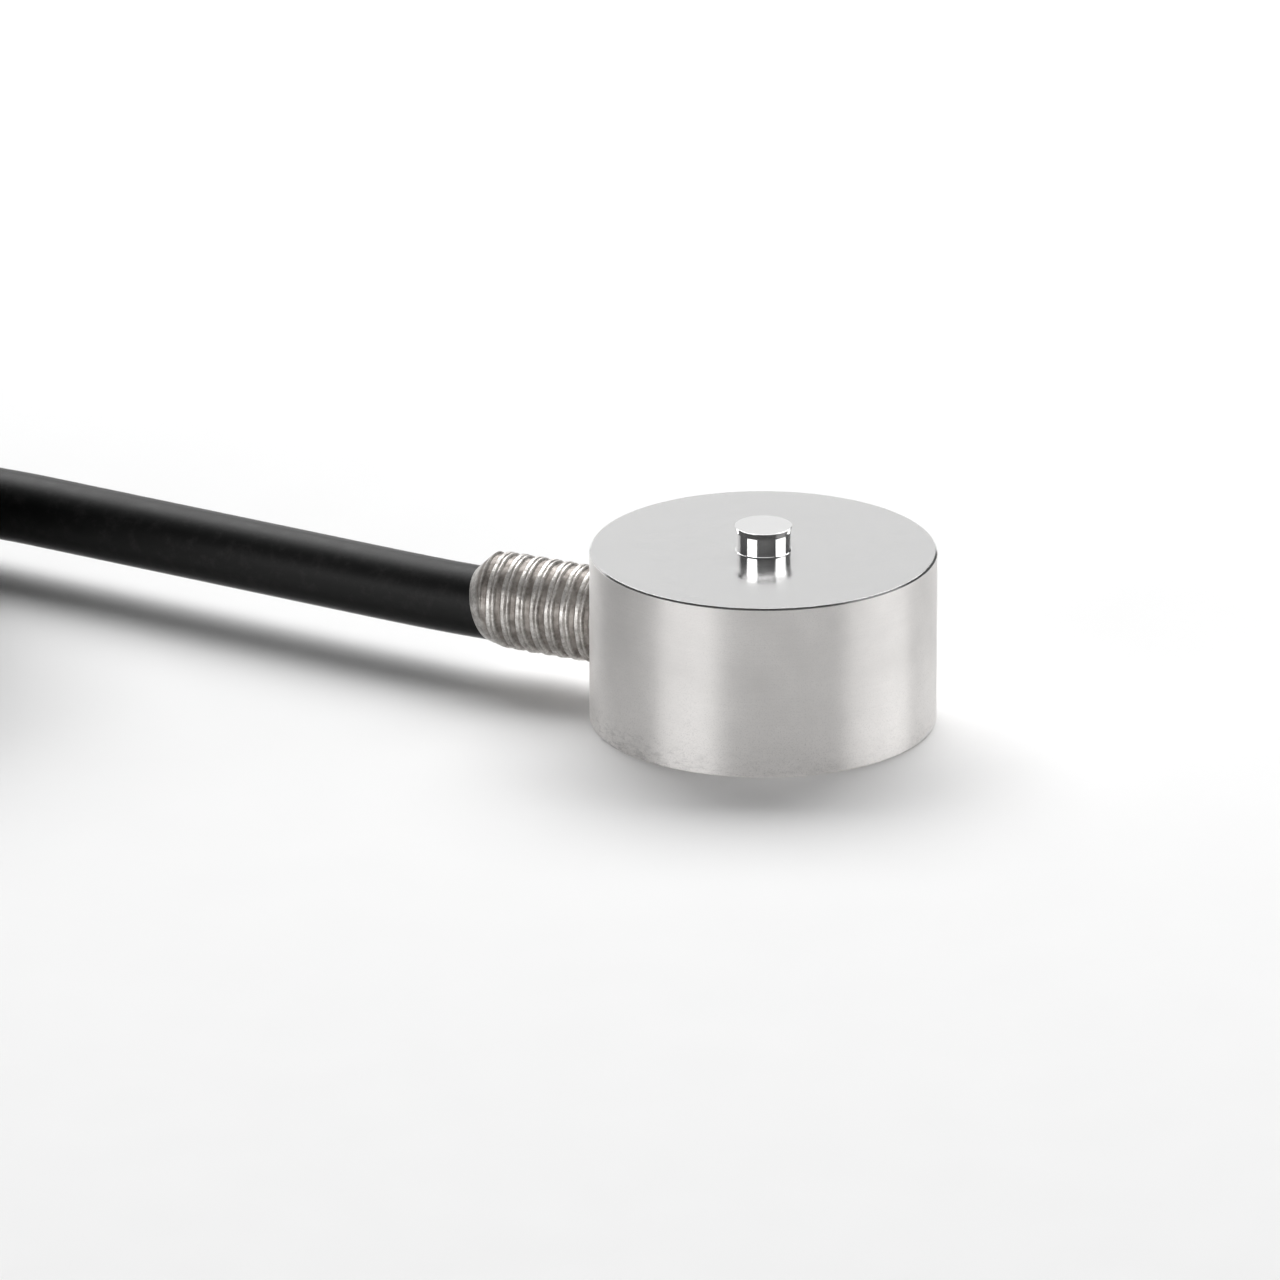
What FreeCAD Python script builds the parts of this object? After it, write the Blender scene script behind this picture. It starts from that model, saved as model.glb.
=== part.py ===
import FreeCAD, Part
import math
import os
from types import SimpleNamespace

import Sketcher
from FreeCAD import Placement, Rotation, Vector

# Miniature compression load cell, in millimetres.
# The origin is the centre of the base, +Z is the load axis and the cable leaves along -X.

# Driving dimensions: name, value, meaning
SIZES = (
    ("body_dia", 21.0, "outside diameter of the spring element"),
    ("body_height", 10.8, "base to flat top"),
    ("top_chamfer", 0.2, "edge break of the top rim"),
    ("base_chamfer", 0.25, "edge break of the base rim"),
    ("button_dia", 3.5, "lip of the load button"),
    ("button_neck_dia", 3.2, "waist of the load button"),
    ("button_height", 1.55, "flat top to button face"),
    ("button_lip", 0.3, "height of the lip"),
    ("button_edge", 0.1, "edge break of the button face"),
    ("button_root", 0.18, "flare at the foot of the button"),
    ("diaphragm", 1.6, "thickness of the diaphragm"),
    ("boss_dia", 5.0, "stiff centre under the button"),
    ("boss_depth", 0.9, "drop of the boss below the diaphragm"),
    ("flexure_root", 0.4, "bevel where the diaphragm meets wall and boss"),
    ("chamber_depth", 1.4, "diaphragm to board ledge"),
    ("wall", 2.3, "wall round the wiring cavity"),
    ("ledge_width", 0.9, "board ledge, cavity to gauge chamber"),
    ("cover_seat", 0.6, "seat of the base cover, cavity to its edge"),
    ("cover_thickness", 1.0, "base cover"),
    ("cover_setback", 0.15, "cover face above the base plane"),
    ("cover_edge", 0.15, "edge break of the cover"),
    ("cover_fit", 0.05, "radial clearance of the cover"),
    ("board_fit", 0.1, "radial clearance of the board"),
    ("board_hole_dia", 6.6, "hole in the middle of the board"),
    ("board_thickness", 0.8, "laminate"),
    ("pad_width", 0.55, "solder pad of a jumper"),
    ("pad_thickness", 0.05, "copper and solder"),
    ("post_dia", 0.6, "terminal post of a cable core"),
    ("post_tail", 0.6, "post past the middle of its core"),
    ("gauge_length", 2.6, "gauge backing, radial"),
    ("gauge_width", 2.2, "gauge backing, across"),
    ("gauge_backing", 0.08, "thickness of the backing"),
    ("gauge_foil", 0.04, "thickness of the foil"),
    ("gauge_margin", 0.25, "bare rim of the backing"),
    ("gauge_bar", 0.2, "end loop of the grid"),
    ("gauge_tab", 0.7, "solder tab"),
    ("gauge_tab_gap", 0.3, "space between the two tabs"),
    ("gauge_strand", 0.12, "width of one strand"),
    ("jumper_width", 0.3, "ribbon from a tab to the board"),
    ("jumper_thickness", 0.08, "ribbon"),
    ("jumper_foot", 0.3, "soldered end of the ribbon"),
    ("jumper_bow", 0.3, "ribbon's bow towards the load axis"),
    ("chip_length", 1.6, "trim resistor"),
    ("chip_width", 0.8, "trim resistor"),
    ("chip_height", 0.45, "trim resistor"),
    ("chip_cap", 0.3, "length of one end cap"),
    ("chip_wrap", 0.04, "thickness of an end cap"),
    ("chip_inset", 2.6, "resistors from the cavity wall"),
    ("nipple_height", 4.8, "thread axis above the base"),
    ("nipple_out", 8.0, "nipple past the body, at the middle of its mouth"),
    ("nipple_inset", 0.15, "inner end of the nipple short of the cavity"),
    ("nipple_fit", 0.02, "radial clearance in the side port"),
    ("nipple_edge", 0.12, "lip between the bore and the bevel at the mouth"),
    ("thread_dia", 5.85, "crest diameter"),
    ("bore_wall", 0.275, "thinnest wall of the nipple, below its bore"),
    ("plug_length", 1.95, "potting compound"),
    ("plug_fit", 0.02, "radial clearance round the compound"),
    ("cable_dia", 4.4, "jacket"),
    ("cable_fit", 0.03, "radial clearance of the jacket in the bore"),
    ("core_dia", 1.0, "insulated core"),
    ("core_spacing", 1.3, "core to core, a square of four"),
    ("core_fit", 0.02, "radial clearance of a core in the compound"),
    ("upper_post_inset", 2.0, "posts of the upper cores from the cavity wall"),
    ("lower_post_inset", 3.4, "posts of the lower cores from the cavity wall"),
    ("hank_columns", 2, "turns side by side"),
    ("hank_layers", 4, "turns on each other"),
    ("hank_fold", 13.2, "centre line of the inner turn at the folds"),
    ("hank_straight", 42.0, "straight stretch between the folds"),
    ("hank_near_x", -68.5, "fold centre next to the cell"),
    ("hank_y", -13.6, "middle of the hank"),
    ("hank_bevel", 1.29, "corners of the bundle"),
    ("tie_thickness", 0.8, "strap"),
    ("tie_width", 3.0, "strap"),
    ("tie_head_width", 4.6, "head across the strap"),
    ("tie_head_depth", 2.8, "head out from the strap"),
    ("tie_head_height", 5.0, "head along the strap"),
    ("tie_stub", 3.0, "cut end past the head"),
    ("tie_far_x", -98.0, "tie on the side of the incoming cable"),
    ("tie_near_x", -81.0, "tie on the other side"),
    ("sleeve_dia", 5.2, "heat-shrink sleeve"),
    ("sleeve_grip", 3.0, "sleeve over the jacket"),
    ("sleeve_reach", 5.0, "sleeve past the jacket"),
    ("lead_dia", 1.1, "insulated lead"),
    ("drain_dia", 0.7, "twisted shield drain"),
    ("tip_dia", 0.6, "tinned strands"),
    ("tip_length", 5.0, "tinned strands"),
)

# Chosen routes. The cable comes straight out of the nipple and sinks to the hank beside it.
RUN_ROUTE = (
    (-24.0, 0.0, 4.38),
    (-54.0, 3.5, 4.12),
    (-66.0, 4.0, 3.0),
)
# The inner bottom turn leaves the hank and ends in the space inside it.
TAIL_ROUTE = (
    (-111.4, -27.17, 3.4),
    (-106.3, -26.27, 3.3),
    (-96.9, -21.9, 2.6),
    (-91.9, -20.1, 2.6),
)
# The flying leads spread past a straight stretch. Points are along, beside and above the jacket's end.
LEAD_STRAIGHT = 7.0
LEAD_SPREAD = {
    "red": ((14.0, 2.3, 0.3), (22.0, 5.2, -0.6)),
    "black": ((14.0, -2.0, 0.1), (22.0, -4.8, -0.9)),
    "green": ((14.0, 1.1, -1.0), (22.0, 2.1, -1.45)),
    "white": ((14.0, -0.9, -1.1), (22.0, -1.9, -1.5)),
    "drain": ((14.0, 0.1, -0.45), (22.0, 0.1, -1.3)),
}

QUARTER_TURN = 90.0
FULL_TURN = 360.0
GAUGE_COUNT = 4
STRAND_COUNT = 6
CHIP_ANGLES = {"zero_trim_resistor": 0.0, "span_resistor_1": 70.0, "span_resistor_2": -70.0}
# A core's side and level in the square of four, seen from the cable
CORE_PLACES = {"red": (1, 1), "black": (-1, 1), "green": (1, -1), "white": (-1, -1)}
ARC_SHARE = 0.45  # of the shorter run, taken by each side of an arc
VOLUME_SLACK = 0.01
MITRED = 1  # corners of a swept wire
MOUTH_SLANT = 16.5  # degrees that the mouth of the nipple leans down
MOUTH_TAPER = 27.5  # degrees of the bevel round it
STRAP_BEND = 2 - math.sqrt(2)  # share of a strap's thickness that its bevelled corner gains outside


class Size:
    """A length of the sheet, or one worked out from it: its number, and the expression that binds it."""

    def __init__(self, text, number):
        self.text = text
        self.number = number

    def combined(self, sign, other, number):
        return Size(f"({self.text} {sign} {expression(other)})", number)

    def __add__(self, other):
        return self.combined("+", other, self.number + value(other))

    def __sub__(self, other):
        return self.combined("-", other, self.number - value(other))

    def __mul__(self, other):
        return self.combined("*", other, self.number * value(other))

    def __truediv__(self, other):
        return self.combined("/", other, self.number / value(other))

    def __neg__(self):
        return Size(f"(-1 * {self.text})", -self.number)


def value(size):
    return size.number if isinstance(size, Size) else float(size)


def expression(size):
    return size.text if isinstance(size, Size) else repr(float(size))


def fill_sheet(doc):
    """Writes the driving dimensions into a sheet. Returns them, and those that follow, as bound sizes."""
    sheet = doc.addObject("Spreadsheet::Sheet", "sizes")
    for row, (name, number, meaning) in enumerate(SIZES, start=1):
        sheet.set(f"A{row}", name)
        sheet.set(f"B{row}", str(number))
        sheet.set(f"C{row}", meaning)
        sheet.setAlias(f"B{row}", name)
    doc.recompute()
    s = SimpleNamespace(**{name: Size(f"sizes.{name}", float(sheet.get(name))) for name, _, _ in SIZES})
    s.ledge_height = s.body_height - s.diaphragm - s.chamber_depth
    s.cavity_dia = s.body_dia - s.wall * 2
    s.chamber_dia = s.cavity_dia - s.ledge_width * 2
    s.cover_dia = s.cavity_dia + s.cover_seat * 2
    s.nipple_reach = s.body_dia / 2 + s.nipple_out
    s.bore_drop = s.thread_dia / 2 - s.bore_wall - s.cable_dia / 2 - s.cable_fit
    return s


# Small helpers round the sketcher and the part design features


def new_body(doc, label):
    body = doc.addObject("PartDesign::Body", label)
    body.Label = label
    return body


def origin_item(body, role):
    return next(item for item in body.Origin.OriginFeatures if item.Role == role)


def sketch_on(body, name, plane, lift=None, shift=None):
    """A sketch on one of the body's planes, lifted along its normal or shifted along its own Y."""
    sketch = body.newObject("Sketcher::SketchObject", name)
    sketch.AttachmentSupport = [(origin_item(body, plane), "")]
    sketch.MapMode = "FlatFace"
    sketch.AttachmentOffset = Placement(Vector(0, value(shift or 0), value(lift or 0)), Rotation())
    if lift is not None:
        sketch.setExpression("AttachmentOffset.Base.z", expression(lift))
    if shift is not None:
        sketch.setExpression("AttachmentOffset.Base.y", expression(shift))
    return sketch


def constrain(sketch, size, kind, *where):
    index = sketch.addConstraint(Sketcher.Constraint(kind, *where, value(size)))
    sketch.setExpression(f"Constraints[{index}]", expression(size))


def pin(sketch, curve, end, x, y):
    """Holds a point of a curve at bound coordinates. Numbers are only ever zero, on an axis."""
    for kind, axis, size in (("DistanceX", -2, x), ("DistanceY", -1, y)):
        if isinstance(size, Size):
            constrain(sketch, size, kind, -1, 1, curve, end)
        else:
            sketch.addConstraint(Sketcher.Constraint("PointOnObject", curve, end, axis))


def outline(sketch, corners):
    """A closed outline of straight edges through bound corners."""
    first = sketch.GeometryCount
    count = len(corners)
    points = [Vector(value(x), value(y), 0) for x, y in corners]
    for i in range(count):
        sketch.addGeometry(Part.LineSegment(points[i], points[(i + 1) % count]))
    for i in range(count):
        sketch.addConstraint(Sketcher.Constraint("Coincident", first + i, 2, first + (i + 1) % count, 1))
    for i, (x, y) in enumerate(corners):
        pin(sketch, first + i, 1, x, y)


def bevelled(sketch, half_wide, half_high, cut_off):
    """A rectangle about the sketch's origin with its corners cut off."""
    wide = half_wide - cut_off
    high = half_high - cut_off
    right = ((half_wide, -high), (half_wide, high), (wide, half_high))
    left = ((-wide, half_high), (-half_wide, high), (-half_wide, -high))
    outline(sketch, ((wide, -half_high),) + right + left + ((-wide, -half_high),))


def rectangle(sketch, low_x, high_x, low_y, high_y):
    outline(sketch, ((low_x, low_y), (high_x, low_y), (high_x, high_y), (low_x, high_y)))


def circle(sketch, x, y, radius):
    centre = Vector(value(x), value(y), 0)
    curve = sketch.addGeometry(Part.Circle(centre, Vector(0, 0, 1), value(radius)))
    pin(sketch, curve, 3, x, y)
    constrain(sketch, radius, "Radius", curve)


def slot(sketch, low_x, high_x, radius):
    """A straight-sided slot along the sketch's X axis, with round ends."""
    reach = value(radius)
    ends = (value(high_x), value(low_x))
    curves = []
    for middle, start in zip(ends, (-math.pi / 2, math.pi / 2)):
        ring = Part.Circle(Vector(middle, 0, 0), Vector(0, 0, 1), reach)
        curves.append(sketch.addGeometry(Part.ArcOfCircle(ring, start, start + math.pi)))
    top = sketch.addGeometry(Part.LineSegment(Vector(ends[0], reach, 0), Vector(ends[1], reach, 0)))
    base = sketch.addGeometry(Part.LineSegment(Vector(ends[1], -reach, 0), Vector(ends[0], -reach, 0)))
    right, left = curves
    for a, a_end, b, b_end in ((right, 2, top, 1), (top, 2, left, 1), (left, 2, base, 1), (base, 2, right, 1)):
        sketch.addConstraint(Sketcher.Constraint("Tangent", a, a_end, b, b_end))
    sketch.addConstraint(Sketcher.Constraint("Equal", right, left))
    constrain(sketch, radius, "Radius", right)
    pin(sketch, right, 3, high_x, 0)
    pin(sketch, left, 3, low_x, 0)


def revolve(body, name, sketch, axis="V_Axis"):
    feature = body.newObject("PartDesign::Revolution", name)
    feature.Profile = sketch
    feature.ReferenceAxis = (sketch, [axis])
    feature.Angle = FULL_TURN
    return feature


def pad(body, name, sketch, length, middle=False, reverse=False):
    feature = body.newObject("PartDesign::Pad", name)
    feature.Profile = sketch
    feature.setExpression("Length", expression(length))
    feature.Midplane = middle
    feature.Reversed = reverse
    return feature


def cut(body, kind, name, sketch, **settings):
    """A pocket or groove, refused if it points away from the solid."""
    body.Document.recompute()
    before = body.Shape.Volume
    feature = body.newObject(f"PartDesign::{kind}", name)
    feature.Profile = sketch
    for setting, wanted in settings.items():
        if isinstance(wanted, Size):
            feature.setExpression(setting, wanted.text)
        else:
            setattr(feature, setting, wanted)
    body.Document.recompute()
    if body.Shape.Volume >= before * (1 - 1e-9):
        raise RuntimeError(f"{name} cuts nothing")
    return feature


def pattern(body, kind, name, originals, count, **settings):
    feature = body.newObject(f"PartDesign::{kind}", name)
    feature.Originals = originals
    for setting, wanted in settings.items():
        if isinstance(wanted, Size):
            feature.setExpression(setting, wanted.text)
        else:
            setattr(feature, setting, wanted)
    feature.Occurrences = count
    body.Tip = feature
    return feature


def chamfer(body, name, base, edges, size):
    feature = body.newObject("PartDesign::Chamfer", name)
    feature.Base = (base, edges)
    feature.setExpression("Size", expression(size))
    return feature


def place(thing, x=0, y=0, z=0, turn=None):
    """Puts a sub-part at a bound place, with a fixed turn."""
    thing.Placement = Placement(Vector(value(x), value(y), value(z)), turn or Rotation())
    for axis, size in zip("xyz", (x, y, z)):
        if isinstance(size, Size):
            thing.setExpression(f"Placement.Base.{axis}", size.text)


def about_z(degrees):
    return Rotation(Vector(0, 0, 1), degrees)


# The cell and what is inside it


def make_body(doc, s):
    """Turned spring element: rim, diaphragm with a stiff centre, load button and stepped cavity."""
    body = new_body(doc, "sensor_body")
    outer = s.body_dia / 2
    neck = s.button_neck_dia / 2
    lip = s.button_dia / 2
    recess = s.cover_dia / 2 + s.cover_fit
    recess_top = s.cover_thickness + s.cover_setback
    under = s.body_height - s.diaphragm
    face = s.body_height + s.button_height
    section = sketch_on(body, "section", "XZ_Plane")
    outline(
        section,
        (
            (recess, 0),
            (outer - s.base_chamfer, 0),
            (outer, s.base_chamfer),
            (outer, s.body_height - s.top_chamfer),
            (outer - s.top_chamfer, s.body_height),
            (neck + s.button_root, s.body_height),
            (neck, s.body_height + s.button_root),
            (neck, face - s.button_lip - (lip - neck)),
            (lip, face - s.button_lip),
            (lip, face - s.button_edge),
            (lip - s.button_edge, face),
            (0, face),
            (0, under - s.boss_depth),
            (s.boss_dia / 2, under - s.boss_depth),
            (s.boss_dia / 2, under - s.flexure_root),
            (s.boss_dia / 2 + s.flexure_root, under),
            (s.chamber_dia / 2 - s.flexure_root, under),
            (s.chamber_dia / 2, under - s.flexure_root),
            (s.chamber_dia / 2, s.ledge_height),
            (s.cavity_dia / 2, s.ledge_height),
            (s.cavity_dia / 2, recess_top),
            (recess, recess_top),
        ),
    )
    revolve(body, "turned", section)
    port = sketch_on(body, "port_circle", "YZ_Plane")
    circle(port, 0, s.nipple_height, s.thread_dia / 2 + s.nipple_fit)
    cut(body, "Pocket", "side_port", port, Length=s.body_dia)
    return body


def make_cover(doc, s):
    body = new_body(doc, "base_cover")
    section = sketch_on(body, "section", "XZ_Plane")
    edge = s.cover_dia / 2
    outline(
        section,
        (
            (0, 0),
            (edge - s.cover_edge, 0),
            (edge, s.cover_edge),
            (edge, s.cover_thickness),
            (0, s.cover_thickness),
        ),
    )
    revolve(body, "disc", section)
    place(body, z=s.cover_setback)
    return body


def gauge_places(s):
    """Middle of the gauges from the load axis, and their tabs' places along and across."""
    radius = (s.boss_dia + s.chamber_dia) / 4
    along = radius + s.gauge_length / 2 - s.gauge_margin - s.gauge_tab / 2
    across = (s.gauge_tab_gap + tab_width(s)) / 2
    return radius, along, across


def tab_width(s):
    return s.gauge_width / 2 - s.gauge_margin - s.gauge_tab_gap / 2


def make_gauge(doc, s, number):
    """Foil gauge bonded under the diaphragm: backing, end loop, strands and two solder tabs."""
    body = new_body(doc, f"strain_gauge_{number}")
    half_long = s.gauge_length / 2
    half_wide = s.gauge_width / 2
    grid_wide = half_wide - s.gauge_margin
    grid_far = -(half_long - s.gauge_margin)
    tab_near = half_long - s.gauge_margin - s.gauge_tab
    sheet = sketch_on(body, "backing_outline", "XY_Plane")
    rectangle(sheet, -half_long, half_long, -half_wide, half_wide)
    pad(body, "backing", sheet, s.gauge_backing)
    foil = sketch_on(body, "foil_outline", "XY_Plane", lift=s.gauge_backing)
    rectangle(foil, grid_far, grid_far + s.gauge_bar, -grid_wide, grid_wide)
    rectangle(foil, tab_near, tab_near + s.gauge_tab, s.gauge_tab_gap / 2, grid_wide)
    rectangle(foil, tab_near, tab_near + s.gauge_tab, -grid_wide, -(s.gauge_tab_gap / 2))
    pad(body, "foil", foil, s.gauge_foil)
    strand = sketch_on(body, "strand_outline", "XY_Plane", lift=s.gauge_backing)
    rectangle(strand, grid_far + s.gauge_bar, tab_near, -grid_wide, s.gauge_strand - grid_wide)
    first = pad(body, "strand", strand, s.gauge_foil)
    spread = grid_wide * 2 - s.gauge_strand
    across = (strand, ["V_Axis"])
    pattern(body, "LinearPattern", "strands", [first], STRAND_COUNT, Direction=across, Length=spread)
    angle = QUARTER_TURN * (number - 1)
    radius, _, _ = gauge_places(s)
    cosine = math.cos(math.radians(angle))
    sine = math.sin(math.radians(angle))
    turn = about_z(angle) * Rotation(Vector(1, 0, 0), 2 * QUARTER_TURN)
    place(body, radius * cosine, radius * sine, s.body_height - s.diaphragm, turn)
    return body


def make_board(doc, s):
    """Ring of laminate held up against the ledge, with pads for the jumpers and posts for the cores."""
    body = new_body(doc, "terminal_board")
    ring = sketch_on(body, "ring_outline", "XY_Plane")
    circle(ring, 0, 0, s.cavity_dia / 2 - s.board_fit)
    circle(ring, 0, 0, s.board_hole_dia / 2)
    pad(body, "laminate", ring, s.board_thickness)
    for name, level in (("upper", 1), ("lower", -1)):
        feet = sketch_on(body, f"{name}_posts_outline", "XY_Plane")
        for side in (1, -1):
            circle(feet, -post_reach(s, level), s.core_spacing / 2 * side, s.post_dia / 2)
        drop = s.ledge_height - s.board_thickness - core_height(s, level) + s.post_tail
        pad(body, f"{name}_posts", feet, drop, reverse=True)
    above = sketch_on(body, "jumper_pads_outline", "XY_Plane", lift=s.board_thickness)
    _, along, across = gauge_places(s)
    half = s.pad_width / 2
    for middle in (across, -across):
        rectangle(above, along - half, along + half, middle - half, middle + half)
    pair = pad(body, "jumper_pads", above, s.pad_thickness)
    about = (above, ["N_Axis"])
    pattern(body, "PolarPattern", "all_jumper_pads", [pair], GAUGE_COUNT, Axis=about, Angle=FULL_TURN)
    place(body, z=s.ledge_height - s.board_thickness)
    return body


def make_jumpers(doc, s):
    """Bowed ribbons from the gauge tabs down to the board, grouped in one node."""
    body = new_body(doc, "gauge_jumpers")
    body.AllowCompound = True
    _, along, across = gauge_places(s)
    top = s.body_height - s.diaphragm - s.gauge_backing - s.gauge_foil
    bottom = s.ledge_height + s.pad_thickness
    middle = (top + bottom) / 2
    toe = along + s.jumper_foot / 2
    heel = along - s.jumper_foot / 2
    thin = s.jumper_thickness
    ribbons = []
    for name, side in (("left", 1), ("right", -1)):
        section = sketch_on(body, f"{name}_section", "XZ_Plane", lift=across * side)
        outline(
            section,
            (
                (toe, top),
                (heel, top),
                (heel - s.jumper_bow, middle),
                (heel, bottom),
                (toe, bottom),
                (toe, bottom + thin),
                (heel + thin / 2, bottom + thin),
                (heel - s.jumper_bow + thin, middle),
                (heel + thin / 2, top - thin),
                (toe, top - thin),
            ),
        )
        ribbons.append(pad(body, f"{name}_ribbon", section, s.jumper_width, middle=True))
    about = (origin_item(body, "Z_Axis"), [""])
    pattern(body, "PolarPattern", "all_ribbons", ribbons, GAUGE_COUNT, Axis=about, Angle=FULL_TURN)
    return body


def make_chip(doc, s, label, angle):
    """Trim resistor under the board: ceramic block and two wrapped end caps."""
    body = new_body(doc, label)
    half_long = s.chip_length / 2
    half_wide = s.chip_width / 2
    block = sketch_on(body, "block_outline", "XY_Plane")
    rectangle(block, -half_long, half_long, -(half_wide - s.chip_wrap), half_wide - s.chip_wrap)
    pad(body, "block", block, s.chip_height - s.chip_wrap)
    caps = sketch_on(body, "caps_outline", "XY_Plane")
    rectangle(caps, half_long - s.chip_cap, half_long, -half_wide, half_wide)
    rectangle(caps, -half_long, -(half_long - s.chip_cap), -half_wide, half_wide)
    pad(body, "caps", caps, s.chip_height)
    cosine = math.cos(math.radians(angle))
    sine = math.sin(math.radians(angle))
    turn = about_z(angle + QUARTER_TURN) * Rotation(Vector(1, 0, 0), 2 * QUARTER_TURN)
    radius = s.cavity_dia / 2 - s.chip_inset
    place(body, radius * cosine, radius * sine, s.ledge_height - s.board_thickness, turn)
    return body


# The cable outlet


def bore_height(s):
    return s.nipple_height - s.bore_drop


def nipple_start(s):
    """Inner end of the nipple from the load axis."""
    return s.cavity_dia / 2 + s.nipple_inset


def post_reach(s, level):
    return s.cavity_dia / 2 - (s.upper_post_inset if level > 0 else s.lower_post_inset)


def core_height(s, level):
    return bore_height(s) + s.core_spacing / 2 * level


def outward():
    """Turn of the pieces that are drawn along +X and look out along -X."""
    return about_z(2 * QUARTER_TURN)


def make_core(doc, s, label, side, level):
    """Cable core from the jacket's end, through the compound, to its terminal post."""
    core = doc.addObject("Part::Cylinder", label)
    core.Label = label
    start = nipple_start(s) + s.plug_length
    core.setExpression("Radius", expression(s.core_dia / 2))
    core.setExpression("Height", expression(start - post_reach(s, level) - s.post_dia / 2))
    place(core, -start, s.core_spacing / 2 * side, core_height(s, level), Rotation(Vector(0, 1, 0), QUARTER_TURN))
    return core


def make_plug(doc, s):
    """Potting compound that seals the inner end of the bore round the four cores."""
    body = new_body(doc, "potting_plug")
    section = sketch_on(body, "section", "YZ_Plane", lift=nipple_start(s))
    circle(section, 0, 0, s.cable_dia / 2 + s.cable_fit - s.plug_fit)
    hole = s.core_dia / 2 + s.core_fit
    for side, level in CORE_PLACES.values():
        circle(section, s.core_spacing / 2 * side, s.core_spacing / 2 * level, hole)
    pad(body, "compound", section, s.plug_length)
    place(body, 0, 0, bore_height(s), outward())
    return body


def make_nipple(doc, s):
    """Threaded outlet. The bore lies below the thread's axis, and the bevelled mouth leans down."""
    body = new_body(doc, "threaded_nipple")
    crest = s.thread_dia / 2
    bore = s.cable_dia / 2 + s.cable_fit
    start = nipple_start(s)
    section = sketch_on(body, "section", "YZ_Plane", lift=start)
    circle(section, 0, 0, crest)
    circle(section, 0, -s.bore_drop, bore)
    pad(body, "tube", section, s.nipple_reach + crest - start)
    lip = bore + s.nipple_edge
    outside = s.thread_dia
    back = (outside - lip) / math.tan(math.radians(MOUTH_TAPER))
    mouth = sketch_on(body, "mouth_section", "XZ_Plane")
    mouth.AttachmentOffset = Placement(Vector(), Rotation(Vector(0, 0, 1), -MOUTH_SLANT))
    mouth.setExpression("AttachmentOffset.Base.x", s.nipple_reach.text)
    mouth.setExpression("AttachmentOffset.Base.y", (-s.bore_drop).text)
    outline(mouth, ((0, 0), (s.thread_dia, 0), (s.thread_dia, outside), (-back, outside), (0, lip)))
    cut(body, "Groove", "mouth", mouth, ReferenceAxis=(mouth, ["H_Axis"]), Angle=FULL_TURN)
    place(body, 0, 0, s.nipple_height, outward())
    return body


# The cable


def cord_solid(label, points, diameter):
    """A round cord of straight runs and tangent arcs, each arc as large as its runs allow."""
    route = [Vector(*point) for point in points]
    edges = []
    radii = []
    at = route[0]
    for before, corner, after in zip(route, route[1:], route[2:]):
        into = (corner - before).normalize()
        out = (after - corner).normalize()
        turn = into.getAngle(out)
        back = ARC_SHARE * min((corner - before).Length, (after - corner).Length)
        radius = back / math.tan(turn / 2)
        inward = (out - into).normalize()
        middle = corner + inward * (radius / math.cos(turn / 2) - radius)
        start = corner - into * back
        end = corner + out * back
        edges.append(Part.LineSegment(at, start).toShape())
        edges.append(Part.Arc(start, middle, end).toShape())
        radii.append(round(radius, 1))
        at = end
    edges.append(Part.LineSegment(at, route[-1]).toShape())
    path = Part.Wire(edges)
    heading = (route[1] - route[0]).normalize()
    section = Part.Face(Part.Wire(Part.Circle(route[0], heading, diameter / 2).toShape()))
    solid = path.makePipe(section)
    wanted = math.pi * diameter**2 / 4 * path.Length
    if abs(solid.Volume - wanted) > VOLUME_SLACK * wanted:
        raise RuntimeError(f"{label} has volume {solid.Volume:.2f}, not {wanted:.2f}")
    print(f"{label}: {path.Length:.1f} mm, arc radii {radii}")
    return solid


def add_cord(doc, label, points, diameter):
    cord = doc.addObject("Part::Feature", label)
    cord.Label = label
    cord.Shape = cord_solid(label, points, value(diameter))
    return cord


def bundle(s):
    """Width and height of one side of the hank."""
    return s.hank_columns * s.cable_dia, s.hank_layers * s.cable_dia


def make_hank(doc, s):
    """Outer shape of the stowed cable: a straight-sided ring of turns that lies on its ties."""
    body = new_body(doc, "cable_hank")
    wide, high = bundle(s)
    inner = s.hank_fold - s.cable_dia / 2
    ring = sketch_on(body, "ring_outline", "XY_Plane", lift=s.tie_thickness)
    slot(ring, -s.hank_straight / 2, s.hank_straight / 2, inner + wide)
    slot(ring, -s.hank_straight / 2, s.hank_straight / 2, inner)
    turns = pad(body, "turns", ring, high)
    doc.recompute()
    level = [
        f"Edge{index}"
        for index, edge in enumerate(turns.Shape.Edges, start=1)
        if edge.BoundBox.ZLength < s.cable_dia.number / 2
    ]
    chamfer(body, "bundle_corners", turns, level, s.hank_bevel)
    place(body, s.hank_near_x - s.hank_straight / 2, s.hank_y, 0)
    return body


def cut_clear(doc, label, points, diameter, hank):
    """A stretch of cable with its end shaped to the hank that it joins."""
    stretch = add_cord(doc, f"{label}_stretch", points, diameter)
    joined = doc.addObject("Part::Cut", label)
    joined.Label = label
    joined.Base = stretch
    joined.Tool = hank
    return joined


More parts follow.
